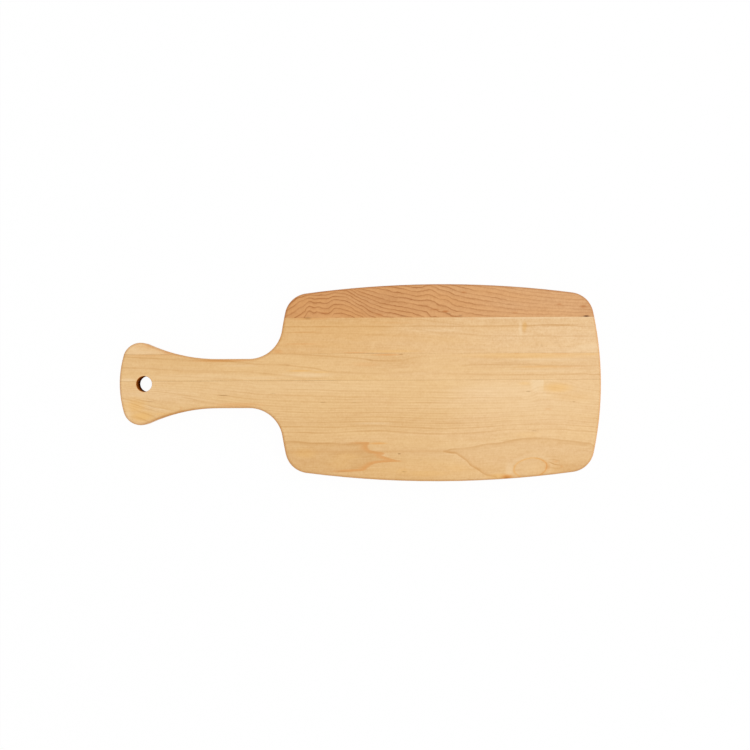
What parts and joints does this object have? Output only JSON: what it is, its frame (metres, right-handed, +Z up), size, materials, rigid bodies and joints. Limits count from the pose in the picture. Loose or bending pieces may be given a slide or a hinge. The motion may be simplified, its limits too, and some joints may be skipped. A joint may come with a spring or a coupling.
{
  "type": "paddle serving board",
  "caption": "Edge-glued maple paddle board for serving: a softly bowed rectangular blade with rounded corners, and a flared handle with a hanging hole.",
  "frame": {"origin": "on the flat underside, midway along the board's whole length and midway across its blade", "axes": "+X along the board from the handle to the far end of the blade, +Y across it towards the heartwood stave, +Z up, out of the serving face"},
  "size_m": [0.432, 0.177, 0.019],
  "materials": {
    "flat_sawn_maple": "oiled satin, flat-sawn cathedral grain",
    "straight_maple": "oiled satin, fine straight grain",
    "heartwood_maple": "oiled satin, darker wavy grain",
    "cured_glue": "thin brown line, sanded flush"
  },
  "bodies": {
    "root": {"front_stave": "flat_sawn_maple", "spine_stave": "straight_maple", "back_stave": "straight_maple", "heartwood_stave": "heartwood_maple", "handle_ear": "straight_maple", "glue_line_spine": "cured_glue", "glue_line_tip": "cured_glue", "glue_line_back": "cured_glue", "glue_line_ear": "cured_glue", "glue_line_heartwood": "cured_glue"}
  },
  "joints": []
}
